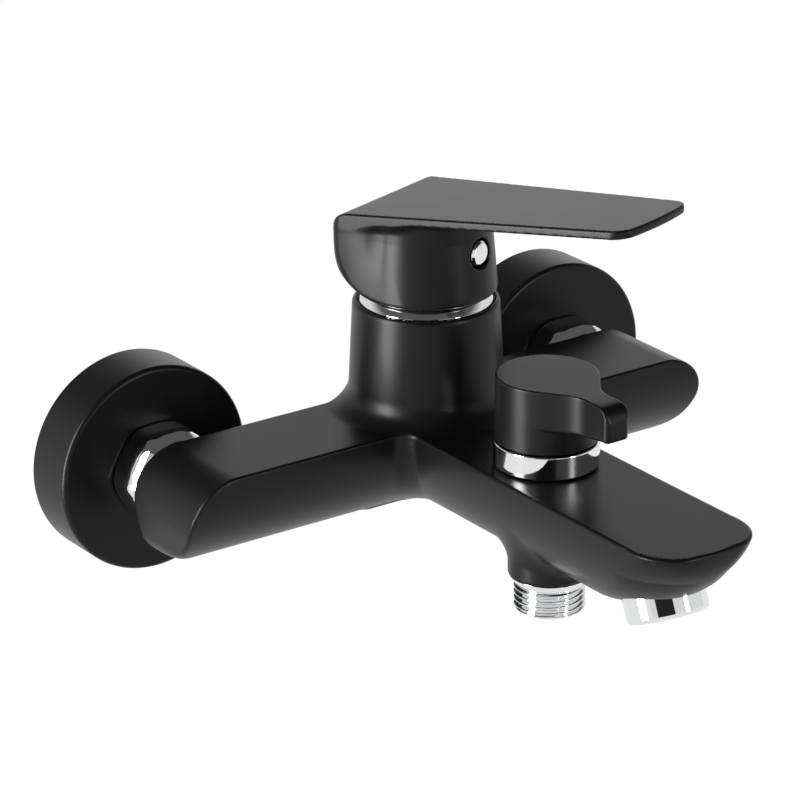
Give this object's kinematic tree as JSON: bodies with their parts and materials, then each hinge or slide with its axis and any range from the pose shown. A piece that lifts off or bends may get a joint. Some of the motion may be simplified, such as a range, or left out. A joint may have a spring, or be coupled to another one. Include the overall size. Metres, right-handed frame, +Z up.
{
  "type": "wall mounted bath faucet",
  "caption": "Wall mounted lever mixer for bath and shower with a flat topped spout, chrome diverter ring, side shower outlet below and round wall rosettes.",
  "frame": {"origin": "on the wall plane, midway between the two half inch wall threads", "axes": "+Z up, +X to the right as seen from the room, +Y into the wall; the spout points along -Y"},
  "size_m": [0.2136, 0.2033, 0.1217],
  "materials": {
    "matt_black": "matt black powder coat with a fine grain",
    "chrome": "polished chrome plate",
    "brass": "machined brass",
    "steel": "plain stainless steel",
    "ceramic": "lapped white ceramic",
    "grey_plastic": "moulded grey plastic",
    "rubber": "black rubber"
  },
  "bodies": {
    "faucet_body": {"s_union_left": "brass", "rosette_left": "matt_black", "union_nut_left": "chrome", "inlet_nipple_left": "brass", "strainer_washer_left": "rubber", "s_union_right": "brass", "rosette_right": "matt_black", "union_nut_right": "chrome", "inlet_nipple_right": "brass", "strainer_washer_right": "rubber", "body_casting": "matt_black", "cartridge_base": "grey_plastic", "port_seals": "rubber", "ceramic_disc_fixed": "ceramic", "cartridge_housing": "grey_plastic", "cartridge_nut": "brass", "dome_ring": "chrome", "diverter_cartridge": "brass", "diverter_disc_fixed": "ceramic", "diverter_gland": "brass", "diverter_ring": "chrome", "shower_nipple": "chrome", "nipple_seal": "rubber", "check_valve_housing": "grey_plastic", "check_valve_spring": "steel", "aerator_ring": "chrome", "aerator_insert": "grey_plastic", "aerator_washer": "rubber"},
    "mixer_carrier": {"cartridge_carrier": "grey_plastic", "hinge_pin": "steel"},
    "mixing_disc": {"ceramic_disc_moving": "ceramic"},
    "lever": {"handle_lever": "matt_black", "lever_stem": "brass", "handle_grub_screw": "steel", "handle_plug": "chrome"},
    "diverter_rotor": {"diverter_knob": "matt_black", "diverter_spindle": "brass", "diverter_disc_turning": "ceramic", "knob_screw": "steel"},
    "check_poppet": {"check_valve_poppet": "grey_plastic"}
  },
  "joints": [
    {"name": "handle_yaw", "type": "hinge", "parent": "faucet_body", "child": "mixer_carrier", "pos_m": [0, -0.0502, 0.044], "axis": [0, 0, 1], "range_deg": [-62.5, 27.5]},
    {"name": "handle_lift", "type": "hinge", "parent": "mixer_carrier", "child": "lever", "pos_m": [0, -0.0502, 0.044], "axis": [-0.9537, -0.3007, 0], "range_deg": [0, 20]},
    {"name": "disc_slide", "type": "slide", "parent": "mixer_carrier", "child": "mixing_disc", "axis": [0.3007, -0.9537, 0], "range_m": [0, 0.005]},
    {"name": "diverter_turn", "type": "hinge", "parent": "faucet_body", "child": "diverter_rotor", "pos_m": [0, -0.1094, 0.03], "axis": [0, 0, 1], "range_deg": [0, 90]},
    {"name": "check_valve_open", "type": "slide", "parent": "faucet_body", "child": "check_poppet", "axis": [0, 0, -1], "range_m": [0, 0.002], "stiffness_N_per_m": 60, "springref_m": -0.004, "deforming": ["check_valve_spring"]}
  ],
  "couplings": [
    {"joint": "disc_slide", "follows": "handle_lift", "m_per_rad": 0.014}
  ]
}
